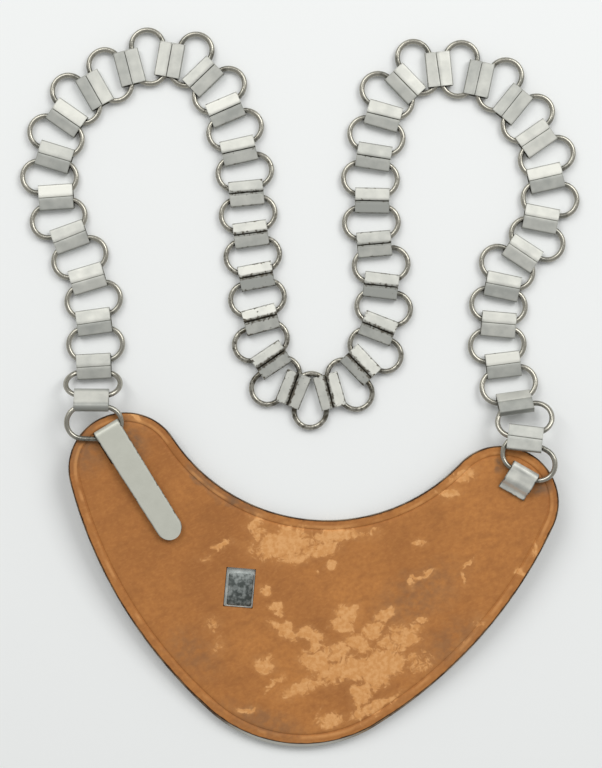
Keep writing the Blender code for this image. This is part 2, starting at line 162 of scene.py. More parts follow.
# %% Where the board is scuffed
SCUFFS = (
    (4, -53, 10.9, 4.4, 17, 1.0),
    (22, -49, 8.0, 2.7, 13, 0.95),
    (34, -47, 3.8, 1.5, 0, 0.6),
    (-5, -49, 2.9, 4.2, 5, 0.8),
    (21, -59, 1.7, 1.1, 5, 1.0),
    (17, -62, 1.0, 0.6, -25, 0.8),
    (-15, -55, 3.9, 1.0, 17, 0.8),
    (-21, -60, 3.4, 1.0, 20, 0.6),
    (58, -31, 4.6, 1.5, 13, 0.9),
    (63, -25, 4.6, 1.3, 25, 0.9),
    (50, -49, 1.5, 0.9, -5, 0.9),
    (52, -60, 4.4, 0.7, 20, 0.9),
    (49, -63, 1.0, 1.5, 5, 0.8),
    (66, -59, 2.3, 0.5, -65, 0.9),
    (67, -54, 2.5, 0.4, 55, 0.9),
    (0, -69, 0.9, 1.2, -25, 0.9),
    (5, -75, 2.5, 1.3, -25, 0.95),
    (8, -82, 5.0, 2.2, -20, 1.0),
    (16, -83, 5.0, 2.3, -10, 1.0),
    (18, -86, 1.8, 3.4, 5, 1.0),
    (28, -75, 4.0, 3.4, 35, 1.0),
    (27, -79, 4.2, 2.1, -5, 0.9),
    (33, -84, 5.0, 2.9, -15, 0.95),
    (37, -79, 3.4, 2.7, 5, 0.9),
    (41, -74, 3.5, 1.7, 30, 0.95),
    (48, -80, 6.7, 4.6, 15, 0.75),
    (53, -74, 1.8, 1.3, 5, 0.8),
    (44, -83, 5.0, 2.9, 5, 0.8),
    (31, -93, 9.6, 4.0, 17, 1.0),
    (42, -90, 7.1, 4.6, 15, 1.0),
    (39, -95, 5.0, 3.8, 5, 1.0),
    (20, -92, 5.9, 4.2, -10, 0.9),
    (23, -96, 5.0, 3.4, 5, 0.8),
    (2, -94, 3.5, 2.5, -15, 0.95),
    (6, -100, 3.8, 0.7, 60, 0.8),
    (15, -101, 7.1, 2.2, 25, 0.9),
    (35, -101, 3.4, 3.8, 5, 1.0),
    (36, -107, 0.6, 3.4, 5, 0.9),
    (54, -88, 5.9, 5.0, 35, 0.6),
    (26, -111, 4.2, 2.2, 15, 0.9),
    (40, -105, 10.1, 2.1, 30, 0.85),
    (22, -110, 0.3, 3.4, -5, 0.7),
    (-3, -110, 4.2, 1.2, -5, 0.8),
    (-17, -82, 3.4, 2.5, -25, 0.6),
    (-14, -89, 2.5, 3.4, -15, 0.6),
    (88, -47, 1.0, 1.7, -15, 0.8),
    (84, -55, 1.0, 1.0, 5, 0.9),
    (72, -73, 3.4, 2.1, 35, 0.5),
    (67, -81, 4.2, 1.7, 45, 0.5),
    (-47.5, -16, 2.8, 0.9, -15, 1.0),
    (10, -57, 7.0, 2.4, 18, 0.8),
    (18, -54, 6.0, 2.4, 15, 0.9),
    (25, -88, 8.0, 3.2, 12, 0.85),
    (46, -84, 6.0, 3.0, 35, 0.75),
)
# Dark grey-brown patches in the same form, and how dark each is: stains, and painted shade by the
# prong, the first ring and the tab
STAINS_AND_PAINTED_SHADE = (
    # Painted shade on both sides of the prong's root
    (-47, -23, 5.0, 2.6, -50, 0.75),
    (-63, -25, 6.0, 8.0, 0, 0.6),
    (-24, -34.5, 6.5, 1.3, -41, 0.75),
    (-11, -41.2, 6.5, 1.2, -22, 0.75),
    # Painted shade where the first ring goes under the prong's fold
    (-53, -15, 10.0, 4.0, -10, 0.4),
    # Painted shade beside the tab, where the last ring's wire goes under it
    (74.7, -20.3, 1.5, 2.0, 0, 0.9),
    (88.9, -26.5, 3.2, 2.0, 20, 0.9),
    (52, -66, 14, 7, 35, 0.4),
    (64, -80, 9, 5, 40, 0.4),
    (-22, -92, 9, 5, -40, 0.35),
    (4, -113, 14, 3.5, -15, 0.45),
)

# %% [markdown]
# ## Scuffs worked out by the material
#
# Scuffs could be painted into a picture, but a picture has to be fitted to the mesh and stored.
# Here the material finds them. For each ellipse a Mapping node turns the coordinates into the
# ellipse's own, where its edge is 1 away from its middle, and the deepest ellipse counts.
#
# On their own, ellipses look like stamps. So noise moves every spot a few millimetres first.

# %% Find the scuffed spots
ELLIPSE_SPREAD, ELLIPSE_MARGIN = 1.35, 0.4
FADE_FROM, FADE_TO = 1.15, 0.35
SWAY, SWAY_SIZE = 7, 5


def in_ellipses(tree, place, table):
    """How deep each spot lies inside the ellipses of the table, from 0 outside them."""
    deepest = 0.0
    for x, y, length, width, angle, strength in table:
        settings = {
            "vector_type": "TEXTURE",
            "Vector": place,
            "Location": (x, y, 0),
            "Rotation": (0, 0, math.radians(angle)),
            "Scale": [ELLIPSE_SPREAD * half + ELLIPSE_MARGIN for half in (length, width)] + [1],
        }
        spot = add(tree, "Mapping", settings).outputs[0]
        away = add(tree, "VectorMath", {"operation": "LENGTH", 0: spot}).outputs["Value"]
        depth = ramp(tree, away, FADE_FROM, FADE_TO, strength)
        deepest = calculate(tree, "MAXIMUM", deepest, depth)
    return deepest


def swayed(tree, mm):
    """The coordinates with every spot moved by noise, and laid flat."""
    lumps = add(tree, "TexNoise", {"Vector": mm, "Scale": 1 / SWAY_SIZE, "Detail": 4.0})
    by = (SWAY, SWAY, 0)
    moved = calculate(tree, "MULTIPLY_ADD", lumps.outputs["Color"], by, mm, kind="VectorMath")
    half = (SWAY / 2, SWAY / 2, 0)
    centred = calculate(tree, "SUBTRACT", moved, half, kind="VectorMath")
    return calculate(tree, "MULTIPLY", centred, (1, 1, 0), kind="VectorMath")


print(len(SCUFFS), "scuffs and", len(STAINS_AND_PAINTED_SHADE), "stains")

# %% [markdown]
# ## The board's skin
#
# The skin is a warm brown that drifts over a few centimetres and is mottled at 1 mm. Noise that is
# drawn out one way gives the fibre. The stains and the patches of painted shade lie on it, broken up
# by more noise.

# %% Skin, stains and painted shade


def board_skin(tree, mm):
    drift = noise_between(tree, mm, 26, 0.35, 0.65)
    skin = mix(tree, drift, linear("#A66C37"), linear("#C18143"))
    mottle = noise_between(tree, mm, 1.6, 0.3, 0.7, 5.0, 0.5)
    skin = mix(tree, mottle, skin, linear("#9C6131"))
    drawn_out = {"vector_type": "TEXTURE", "Rotation": (0, 0, 0.5), "Scale": (1.8, 0.9, 1)}
    fibre = add(tree, "Mapping", {"Vector": mm, **drawn_out}).outputs[0]
    pale_fibre = noise_between(tree, fibre, 0.8, 0.5, 0.68, 3.0, 0.22)
    skin = mix(tree, pale_fibre, skin, linear("#C98B4E"))
    dark_fibre = noise_between(tree, fibre, 3.0, 0.5, 0.7, 6.0, 0.3)
    return mix(tree, dark_fibre, skin, linear("#8F5A2E"))


def stained_and_shaded(tree, mm, flat, skin):
    # Dark grey-brown patches, broken up by noise: stains, and painted shade by the prong, the first
    # ring and the tab
    broken_up = noise_between(tree, mm, 2.5, 0.25, 0.6, 6.0)
    dull = calculate(tree, "MULTIPLY", in_ellipses(tree, flat, STAINS_AND_PAINTED_SHADE), broken_up)
    return mix(tree, dull, skin, linear("#7C6047"))


# %% [markdown]
# ## Scuffs and the board's edge
#
# A scuff is ragged at 1 mm and leaves some skin inside it, so distorted noise decides where the
# fibre shows, and a faint haze lies over the whole ellipse.
#
# The board's mesh carries a number, `edge_zone`: 4 at the edge, falling to 0 where a point is 4 mm
# or more inside it. It counts this way round because a Boolean cut gives its new points a 0, which
# has to mean sound board and no worn edge.

# %% Scuffs and edge
EDGE_BAND = 4


def scuffed(tree, mm, flat, skin):
    rubbed = in_ellipses(tree, flat, SCUFFS)
    torn = noise_at(tree, mm, 3.2, 9.0, Roughness=0.66, Distortion=1.3)
    broken = calculate(tree, "MULTIPLY_ADD", torn, 1.7, rubbed)
    bare = ramp(tree, broken, 1.32, 1.58)
    haze = ramp(tree, rubbed, 0.0, 1.2, 0.38)
    inside = noise_between(tree, mm, 1.3, 0.4, 0.62, 6.0)
    fresh = mix(tree, inside, linear("#D29557"), linear("#E0A76B"))
    return mix(tree, calculate(tree, "MAXIMUM", bare, haze), skin, fresh)


def worn_and_highlit_edge(tree, mm, colour):
    """Pale outside the pressed line, partly rubbed fibre and partly a painted highlight along the
    ridge, and darkened at the edge by hands and damp.
    """
    inside = calculate(tree, "SUBTRACT", EDGE_BAND, mesh_number(tree, "edge_zone"))
    patchy = noise_between(tree, mm, 9, 0.45, 0.6)
    # Pale band between the edge and the pressed line: rubbed fibre, and a painted highlight on the
    # ridge
    ridge = calculate(tree, "MULTIPLY", ramp(tree, inside, 1.0, 1.6), patchy)
    ridge = calculate(tree, "MULTIPLY", ridge, ramp(tree, inside, 2.5, 2.1, 0.55))
    colour = mix(tree, ridge, colour, linear("#D99C5F"))
    grime = noise_at(tree, mm, 3, 6.0, Roughness=0.6)
    dirty = calculate(tree, "MULTIPLY", ramp(tree, inside, 1.6, 0.0), grime)
    return mix(tree, ramp(tree, dirty, 0.36, 0.62, 0.8), colour, linear("#5C3B22"))


# %% [markdown]
# ## The whole leatherboard
#
# The layers go on in the order in which they came on the real board: skin, stains, scuffs and the
# worn edge. Painted shade goes on with the stains, and a painted highlight with the worn edge.
# Pressed fibre has a fine, soft relief, which is only bump, as it is too low to model.

# %% The leatherboard material


def leatherboard():
    made, tree, shader, mm = start("pressed leatherboard", 0.7)
    shader.inputs["Specular IOR Level"].default_value = 0.3
    flat = swayed(tree, mm)
    colour = stained_and_shaded(tree, mm, flat, board_skin(tree, mm))
    colour = scuffed(tree, mm, flat, colour)
    colour = worn_and_highlit_edge(tree, mm, colour)
    tree.links.new(colour, shader.inputs["Base Color"])
    emboss(tree, shader, noise_at(tree, mm, 0.7, 4.0), 0.25, 0.00012)
    return made


LEATHERBOARD = leatherboard()
print("leatherboard with", len(LEATHERBOARD.node_tree.nodes), "nodes")

# %% [markdown]
# ## Silver paint over steel
#
# The fittings and the chain are mild steel under silver lacquer, which is fine aluminium flake in
# a clear binder: it looks pale grey, with a soft sheen instead of a mirror. The lacquer has worn
# through at the folds, and the steel under it has gone brown and nearly black.
#
# The meshes carry three numbers that this material reads. `edge` rises along folds and cut edges
# and is 0 on flat sheet, `wear` says how worn a piece is, and `tone` how pale its paint is. On the
# plates the tone is partly random and partly painted light.

# %% The painted steel material


def silver_paint(name, light, shade, roughness, metallic, bare_from, softness):
    """Silver lacquer, gone where the noise, the edge and the wear add up to more than bare_from."""
    made, tree, shader, mm = start(name, roughness, metallic)
    # Clouds and each flap's own tone set how pale the paint is. Where the edge number is high the
    # paint is darker: painted shade along the folds and cut edges of plates and strips, and wear at
    # the seams and on the rings' rubbed bars
    edge = mesh_number(tree, "edge")
    clouds = noise_between(tree, mm, 4, 0.3, 0.7, 4.0, 0.4)
    cloudy = calculate(tree, "ADD", clouds, mesh_number(tree, "tone"))
    paint = mix(tree, cloudy, linear(shade), linear(light))
    paint = mix(tree, ramp(tree, edge, 0.3, 0.65, 0.6), paint, linear("#75766F"))
    chips = noise_at(tree, mm, 1.1, 7.0, Roughness=0.65)
    worn = calculate(tree, "MULTIPLY_ADD", edge, 0.26, chips)
    worn = calculate(tree, "MULTIPLY_ADD", mesh_number(tree, "wear"), 0.16, worn)
    bare = ramp(tree, worn, bare_from, bare_from + softness)
    steel = mix(tree, noise_at(tree, mm, 2.5, 3.0), linear("#2F2E2A"), linear("#6B6454"))
    tree.links.new(mix(tree, bare, paint, steel), shader.inputs["Base Color"])
    emboss(tree, shader, chips, 0.35, 0.0001)
    return made


PLATE_PAINT = silver_paint(
    "silver lacquer on folded steel", "#DCDCD3", "#A6A8A2", 0.45, 0.4, bare_from=0.80, softness=0.05
)
PRONG_PAINT = silver_paint(
    "silver lacquer on spring steel", "#CBCCC0", "#BFC0B4", 0.45, 0.3, bare_from=0.77, softness=0.05
)
WIRE_PAINT = silver_paint(
    "rubbed silver lacquer on wire", "#B8B5A9", "#98958A", 0.27, 0.9, bare_from=0.70, softness=0.18
)
print("paints:", PLATE_PAINT.name, "/", PRONG_PAINT.name, "/", WIRE_PAINT.name)

# %% [markdown]
# ## Bare steel
#
# The shell is pressed sheet steel. Its turned-up rim is dark with age and bright where it rubs.
# The little plate in the window is duller still.

# %% The bare steel materials
BRIGHT_FROM, BRIGHT_TO = -113.0, -118.0


def bare_steel(name, light, dark, roughness, metallic, size):
    """Steel with dark and light clouds of this size in millimetres."""
    made, tree, shader, mm = start(name, roughness, metallic)
    cloud = noise_at(tree, mm, size, 6.0, Roughness=0.6)
    colour = mix(tree, ramp(tree, cloud, 0.42, 0.6), linear(dark), linear(light))
    # The gorget's point, which rubs most, is bright
    up = add(tree, "SeparateXYZ", {"Vector": mm}).outputs["Y"]
    bright = ramp(tree, up, BRIGHT_FROM, BRIGHT_TO, 0.85)
    colour = mix(tree, bright, colour, linear("#B9BAB3"))
    tree.links.new(colour, shader.inputs["Base Color"])
    emboss(tree, shader, cloud, 0.3, 0.0001)
    return made


SHELL_STEEL = bare_steel("aged pressed sheet steel", "#8C7A63", "#4B3828", 0.45, 0.4, 7.0)
WINDOW_STEEL = bare_steel("dull grey steel plate", "#D2D9D5", "#A9B1AE", 0.5, 0.3, 3.0)
PAD_STEEL = bare_steel("blackened worn steel", "#8E9491", "#4A504D", 0.5, 0.5, 1.6)
print("steels:", SHELL_STEEL.name, "/", WINDOW_STEEL.name, "/", PAD_STEEL.name)

# %% [markdown]
# ## The gorget's outline
#
# Half of the outline is four arcs: the neck, the horn, the long flank and the point. The solids
# use the same arcs with few sides. Here they get many, so that the edge is smooth.

# %% Sizes of the shell and the board
MIDDLE = Vector((0.01304, -0.04491, 0))
NECK_RADIUS, NECK_ANGLE, NECK_SIDES = 0.0620, 51.8, 24
HORN_RADIUS, HORN_ANGLE, HORN_SIDES = 0.0181, 160.8, 40
FLANK_RADIUS, FLANK_ANGLE, FLANK_SIDES = 0.1517, 34.1, 28
POINT_SIDES = 16
CHEST_RADIUS = 0.45
SHELL_SHEET, BOARD_SHEET, RIM_SHEET = 0.0009, 0.0020, 0.0003
CLEARANCE = 0.0003
BOARD_BOTTOM = SHELL_SHEET + CLEARANCE
BOARD_TOP = BOARD_BOTTOM + BOARD_SHEET
RIM_TOP = BOARD_TOP - 0.0002


def bend_height(x):
    """How far the gorget's bend lifts a point at this distance from its middle."""
    return CHEST_RADIUS - math.sqrt(CHEST_RADIUS**2 - x**2)


def arc_points(start, heading, radius, angle, sides):
    """Points along an arc that turns left where the angle is positive, after its start."""
    turn = math.copysign(1, angle)
    centre = start + turn * radius * Vector((-math.sin(heading), math.cos(heading)))
    points = []
    for i in range(1, sides + 1):
        now = heading + angle * i / sides
        points.append(centre + turn * radius * Vector((math.sin(now), -math.cos(now))))
    return points


def outline(inset, height, longer=0):
    """The outline as a loop at a height, drawn in by inset, with its point a bit longer."""
    neck, horn, flank = (math.radians(a) for a in (NECK_ANGLE, HORN_ANGLE, FLANK_ANGLE))
    right = [Vector((0, -inset))]
    right += arc_points(right[-1], 0, NECK_RADIUS + inset, neck, NECK_SIDES)
    right += arc_points(right[-1], neck, HORN_RADIUS - inset, -horn, HORN_SIDES)
    right += arc_points(right[-1], neck - horn, FLANK_RADIUS - inset, -flank, FLANK_SIDES)
    heading = neck - horn - flank
    radius = -right[-1].x / math.sin(heading)
    right += arc_points(right[-1], heading, radius, -math.pi - heading, POINT_SIDES)
    right[-1].x = 0
    depth = -right[-1].y
    whole = right + [Vector((-p.x, p.y)) for p in right[-2:0:-1]]
    return [Vector((p.x, p.y - longer * max(0, -p.y / depth) ** 4, height)) for p in whole]


print("outline of", len(outline(0, 0)), "points")

# %% [markdown]
# ## Lofts
#
# A loft joins loops of equally many points with faces, like the rings of a barrel. The shell, the
# board and the plate in its window are lofts. They are made flat and then bent to the chest.

# %% Loft, bend and finish a piece


def loft(loops, values=None):
    """A closed body through the loops. Each loop may give its points an edge_zone number."""
    bm = bmesh.new()
    layer = bm.verts.layers.float.new("edge_zone")
    rows = []
    for i, loop in enumerate(loops):
        row = [bm.verts.new(point) for point in loop]
        for vert in row:
            vert[layer] = values[i] if values else 0
        rows.append(row)
    for low, high in zip(rows, rows[1:]):
        for i in range(len(low)):
            bm.faces.new((low[i - 1], low[i], high[i], high[i - 1]))
    bm.faces.new(rows[0])
    bm.faces.new(rows[-1])
    return bm


def bend(bm, step=0.003):
    """Cuts the faces across and bends them, so that both horns rise."""
    reach = max(abs(vert.co.x) for vert in bm.verts)
    for i in range(-math.ceil(reach / step), math.ceil(reach / step) + 1):
        geometry = bm.verts[:] + bm.edges[:] + bm.faces[:]
        bmesh.ops.bisect_plane(bm, geom=geometry, plane_co=(i * step, 0, 0), plane_no=(1, 0, 0))
    for vert in bm.verts:
        vert.co.z += bend_height(vert.co.x)


def finish_piece(bm, name, material, slot_name, *nodes, smooth=35):
    """Turns the mesh into an object that stands for its CAD nodes."""
    bmesh.ops.recalc_face_normals(bm, faces=bm.faces)
    mesh = bpy.data.meshes.new(name)
    bm.to_mesh(mesh)
    bm.free()
    mesh.shade_smooth()
    mesh.set_sharp_from_angle(angle=math.radians(smooth))
    mesh.materials.append(material)
    obj = bpy.data.objects.new(name, mesh)
    bpy.context.scene.collection.objects.link(obj)
    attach(obj, "root")
    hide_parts(*nodes)
    print(name, len(mesh.polygons), "faces")
    return obj


# %% [markdown]
# ## The pressed steel shell
#
# The shell is one sheet of steel with its edge turned up round the board. From the back only the
# thin rim shows. The face underneath is plain.

# %% The shell
# Insets count inwards from the outline, so the shell, which lies outside it, has negative ones
SHELL_INSIDE = -0.0002
SHELL_OUTSIDE = SHELL_INSIDE - RIM_SHEET
FACE_EDGE, FACE_STEPS = 0.0010, 6
EASE_OUTSIDE, EASE_INSIDE = 0.00015, 0.0001
LONGER_OUTSIDE, LONGER_INSIDE = 0.0008, 0.0001

shell_loops = []
for step in range(FACE_STEPS + 1):
    turned = math.radians(90 * step / FACE_STEPS)
    inset = SHELL_OUTSIDE + FACE_EDGE * (1 - math.sin(turned))
    shell_loops.append(outline(inset, FACE_EDGE * (1 - math.cos(turned)), LONGER_OUTSIDE))
shell_loops += [
    outline(SHELL_OUTSIDE, RIM_TOP - EASE_OUTSIDE, LONGER_OUTSIDE),
    outline(SHELL_OUTSIDE + EASE_OUTSIDE, RIM_TOP, LONGER_OUTSIDE),
    outline(SHELL_INSIDE - EASE_INSIDE, RIM_TOP, LONGER_INSIDE),
    outline(SHELL_INSIDE, RIM_TOP - EASE_INSIDE, LONGER_INSIDE),
    outline(SHELL_INSIDE, SHELL_SHEET, LONGER_INSIDE),
]
shell = loft(shell_loops)
bend(shell)
bmesh.ops.translate(shell, vec=MIDDLE, verts=shell.verts)
finish_piece(shell, "pressed_steel_shell", SHELL_STEEL, "pressed_steel", "front_shell")

# %% [markdown]
# ## The leatherboard back
#
# The board fills the shell. A line is pressed into it all round, 2.7 mm in from the edge, and its
# edge is a little crumbled. Both are in the loops: the line is a shallow dip between loops, and
# two of the loops have small nicks.

# %% The board
GROOVE = ((0.0022, 0), (0.0024, 0.00012), (0.0026, 0.0003), (0.0028, 0.0003), (0.0030, 0.00012))
NICK_FROM, NICK_DEPTH = 0.12, 0.0025


def board_edge(inset, height):
    """The board's outline with a crumbled edge: small nicks all along it."""
    loop = outline(inset, height)
    for point in loop:
        chipped = noise.noise(point * 420) + 0.6 * noise.noise(point * 1100)
        if chipped > NICK_FROM:
            point.xy *= 1 - NICK_DEPTH * chipped
    return loop


board_loops = [outline(0.0003, BOARD_BOTTOM), outline(-0.0001, BOARD_BOTTOM + 0.0003)]
board_loops += [board_edge(-0.0001, BOARD_TOP - 0.0002), board_edge(0.0001, BOARD_TOP)]
board_loops += [outline(0.0010, BOARD_TOP), outline(0.0016, BOARD_TOP)]
board_loops += [outline(inset, BOARD_TOP - deep) for inset, deep in GROOVE]
board_loops += [outline(0.0033, BOARD_TOP), outline(0.0040, BOARD_TOP)]
# The edge_zone number of each of these loops
edge_zones = [EDGE_BAND] * 3 + [3.7, 3.0, 2.4]
edge_zones += [EDGE_BAND - 1000 * inset for inset, _ in GROOVE] + [0.7, 0]
board = loft(board_loops, edge_zones)
bend(board)
bmesh.ops.translate(board, vec=MIDDLE, verts=board.verts)
board_object = finish_piece(
    board, "leatherboard_back", LEATHERBOARD, "leatherboard", "backing_board"
)

# %% [markdown]
# ## Openings in the board
#
# The board has a window and a slot under each fitting. Boolean cutters make them, as a knife cuts
# board: each one is a tall hidden box, and a modifier takes it away from the board.

# %% The openings
PRONG_FOLD, PRONG_HEADING = (-0.07045, 0.02610), -53.4
PRONG_SLOT_LENGTH, PRONG_SLOT_WIDTH, PRONG_SLOT_ASIDE = 0.0120, 0.0091, -0.00065
TAB_FOLD, TAB_HEADING = (0.06990, 0.02470), -115.0
TAB_SLOT_LENGTH, TAB_SLOT_WIDTH = 0.0080, 0.0082
WINDOW, WINDOW_WIDTH, WINDOW_HEIGHT = (-0.0216, -0.0243), 0.0099, 0.0133
CUTTER_HEIGHT = 0.0400


def along(fold, heading, distance, aside=0.0):
    """A point this far along a strip from its fold, and this far to the strip's left."""
    return Vector(fold) + Matrix.Rotation(math.radians(heading), 2) @ Vector((distance, aside))


def cutter(name, centre, width, height, heading):
    """A tall box that cuts an opening, and is hidden afterwards."""
    bpy.ops.mesh.primitive_cube_add(size=1)
    box = bpy.context.object
    box.name = name
    box.scale = (width, height, CUTTER_HEIGHT)
    box.rotation_euler.z = math.radians(heading)
    box.location = MIDDLE + Vector((*centre, (CUTTER_HEIGHT + SHELL_SHEET) / 2))
    box.hide_render = box.hide_viewport = True
    return box


prong_slot = along(PRONG_FOLD, PRONG_HEADING, PRONG_SLOT_LENGTH / 2, PRONG_SLOT_ASIDE)
tab_slot = along(TAB_FOLD, TAB_HEADING, TAB_SLOT_LENGTH / 2)
openings = (
    cutter("window cutter", WINDOW, WINDOW_WIDTH, WINDOW_HEIGHT, 0),
    cutter("prong slot", prong_slot, PRONG_SLOT_LENGTH, PRONG_SLOT_WIDTH, PRONG_HEADING),
    cutter("tab slot", tab_slot, TAB_SLOT_LENGTH, TAB_SLOT_WIDTH, TAB_HEADING),
)
for opening in openings:
    cut = board_object.modifiers.new(opening.name, "BOOLEAN")
    cut.operation = "DIFFERENCE"
    cut.object = opening
print("cut", len(openings), "openings")

# %% [markdown]
# ## The plate in the window
#
# A small steel plate shows at the bottom of the window, with a darker raised pad on it. Both are
# thin blocks with cut corners, and they are lofts like the shell, so no new method is needed.

# %% The window plate
PLATE_IN_WINDOW, PLATE_IN_WINDOW_SHEET = (0.0096, 0.0130), 0.0005
PLATE_EASE, PLATE_CORNER = 0.0001, 0.0003
PAD, PAD_HEIGHT = (0.0082, 0.0108), 0.0003
PAD_EASE, PAD_CORNER, PAD_SIDE = 0.0003, 0.0004, 0.0002
PAD_SUNK = 0.0001
PAD_AT = (WINDOW[0] + 0.00025, WINDOW[1] - 0.00065)


def rectangle(centre, width, height, z, corner):
    """A rectangle with its corners cut off."""
    x, y = width / 2, height / 2
    points = [(-x + corner, -y), (x - corner, -y), (x, -y + corner), (x, y - corner)]
    points += [(x - corner, y), (-x + corner, y), (-x, y - corner), (-x, -y + corner)]
    return [MIDDLE + Vector((centre[0] + px, centre[1] + py, z)) for px, py in points]


def block(centre, size, levels, ease, corner):
    """A block with a level for its bottom, its sides' top and its top, which is ease smaller."""
    insets = (0, 0, ease)
    width, height = size
    loops = [
        rectangle(centre, width - inset, height - inset, z, corner)
        for z, inset in zip(levels, insets)
    ]
    bm = loft(loops)
    for vert in bm.verts:
        vert.co.z += bend_height(vert.co.x - MIDDLE.x)
    return bm


plate_top = BOARD_BOTTOM + PLATE_IN_WINDOW_SHEET
levels = (BOARD_BOTTOM, plate_top, plate_top)
window = block(WINDOW, PLATE_IN_WINDOW, levels, PLATE_EASE, PLATE_CORNER)
finish_piece(window, "window_plate_steel", WINDOW_STEEL, "worn_steel", "window_plate")
levels = (plate_top - PAD_SUNK, plate_top + PAD_SIDE, plate_top + PAD_HEIGHT)
pad = block(PAD_AT, PAD, levels, PAD_EASE, PAD_CORNER)
finish_piece(pad, "window_pad", PAD_STEEL, "worn_steel", "window_plate")

# %% [markdown]
# ## Prong and tab
#
# Both are strips of spring steel. Each rises out of its slot, folds back over itself round the
# ring's wire, and runs on over the board: the prong as a long tongue with a round end, the tab
# as a short hump with a flat foot.
#
# A strip follows a path of distances and heights. Its section is a flat bar with eased edges, and
# the paint has gone from those edges, so they carry the `edge` number.

# %% Sizes of the strips
STRIP = 0.0007
FOLD_ROOM = 0.0026
FOLD_RADIUS = (FOLD_ROOM + STRIP) / 2
LOWER_LEAF = BOARD_TOP - STRIP / 2
UPPER_LEAF = LOWER_LEAF + 2 * FOLD_RADIUS
FOLD_MIDDLE = FOLD_RADIUS + STRIP / 2
FOOT = BOARD_BOTTOM + STRIP / 2
LEAF_NARROWER, NARROW_POINTS = 0.0034, 7
LEAF_RISES_AT = 0.72
FOLD_SIDES = 14
AFTER_FOLD = FOLD_MIDDLE + 0.0002


def dense_path(corners, step=0.0006):
    """Points along straight lines between the corners, close enough for uneven tones."""
    points = [corners[0]]
    for first, last in zip(corners, corners[1:]):
        count = max(1, round(math.dist(first, last) / step))
        for i in range(1, count + 1):
            points.append(tuple(a + (b - a) * i / count for a, b in zip(first, last)))
    return points


def fold_path(leaf_length):
    """From the end of the leaf under the board, out of the slot and round the fold."""
    path = [(leaf_length, FOOT), (LEAF_RISES_AT * leaf_length, FOOT), (FOLD_MIDDLE, LOWER_LEAF)]
    for i in range(1, FOLD_SIDES + 1):
        angle = math.pi * i / FOLD_SIDES
        distance = FOLD_MIDDLE - FOLD_RADIUS * math.sin(angle)
        path.append((distance, LOWER_LEAF + FOLD_RADIUS - FOLD_RADIUS * math.cos(angle)))
    return path


def fold_width(full, i):
    """The leaf is narrower than the fold until its path is clear of the board."""
    return full - LEAF_NARROWER if i < NARROW_POINTS else full


print("fold radius", FOLD_RADIUS, "and leaf heights", LOWER_LEAF, UPPER_LEAF)

# %% [markdown]
# ## A strip of sheet
#
# A curve with a bevel could draw such a strip too, but the material wants numbers at its points.
# So the section is placed at each spot of the path by hand, at right angles to the path's way.

# %% Sweep a strip
# The section goes round the strip: share of the half width, of the half thickness, edge number
SECTION = (
    (-0.98, -0.7, 1), (-0.94, -1, 0.6), (-0.85, -1, 0), (0, -1, 0), (0.85, -1, 0), (0.94, -1, 0.6),
    (0.98, -0.7, 1), (1, 0, 1), (0.98, 0.7, 1), (0.94, 1, 0.6), (0.85, 1, 0), (0.4, 1, 0),
    (0, 1, 0), (-0.4, 1, 0), (-0.85, 1, 0), (-0.94, 1, 0.6), (-0.98, 0.7, 1), (-1, 0, 1),
)


def strip(name, fold, heading, path, width_at, wear, material, node):
    """A strip of sheet along the path, with a width that depends on the distance."""
    bm = bmesh.new()
    edge_layer = bm.verts.layers.float.new("edge")
    wear_layer = bm.verts.layers.float.new("wear")
    tone_layer = bm.verts.layers.float.new("tone")
    rows = []
    for i, (distance, height) in enumerate(path):
        before = Vector(path[max(i - 1, 0)])
        after = Vector(path[min(i + 1, len(path) - 1)])
        way = (after - before).normalized()
        normal = Vector((-way.y, way.x)) * STRIP / 2
        last = i in (0, len(path) - 1)
        row = []
        for across, up, edge in SECTION:
            spot = Vector((distance, height)) + up * normal
            # Hand-cut edges wander by less than a tenth of a millimetre
            wander = 0.00008 * noise.noise(Vector((distance * 300, across, heading)))
            vert = bm.verts.new((spot.x, across * width_at(distance, i) / 2 + wander, spot.y))
            vert[edge_layer] = 1 if last else edge
            vert[wear_layer] = wear
            vert[tone_layer] = 0.4 - wear * noise.noise(Vector((distance * 700, across, 4)))
            row.append(vert)
        rows.append(row)
    for low, high in zip(rows, rows[1:]):
        for k in range(len(low)):
            bm.faces.new((low[k - 1], low[k], high[k], high[k - 1]))
    bm.faces.new(rows[0])
    bm.faces.new(rows[-1])
    place = Matrix.Translation((*fold, 0)) @ Matrix.Rotation(math.radians(heading), 4, "Z")
    bm.transform(place)
    for vert in bm.verts:
        vert.co.z += bend_height(vert.co.x)
    bmesh.ops.translate(bm, vec=MIDDLE, verts=bm.verts)
    finish_piece(bm, name, material, "silver_paint", node)


# %% [markdown]
# ## The long prong
#
# The prong is a long, flat tongue with a round end. It tapers a little and leans down towards its
# tip, which keeps the ring in its fold. The round end is a row of narrower and narrower sections.

# %% The long prong
PRONG_LEAF, PRONG_LENGTH, PRONG_DROP = 0.0117, 0.0441, 0.0011
PRONG_FOLD_WIDTH, PRONG_WIDTH = 0.0092, 0.0091
TAPER, TAPER_FROM = 0.0006, 0.0045
TIP_RADIUS = 0.00425
PRONG_WEAR = 0.1
POINTS_TO_UPPER_LEAF = FOLD_SIDES + 4

tip_start = PRONG_LENGTH - TIP_RADIUS


def prong_height(distance):
    fallen = (distance - FOLD_MIDDLE) / (PRONG_LENGTH - FOLD_MIDDLE)
    return UPPER_LEAF - PRONG_DROP * fallen


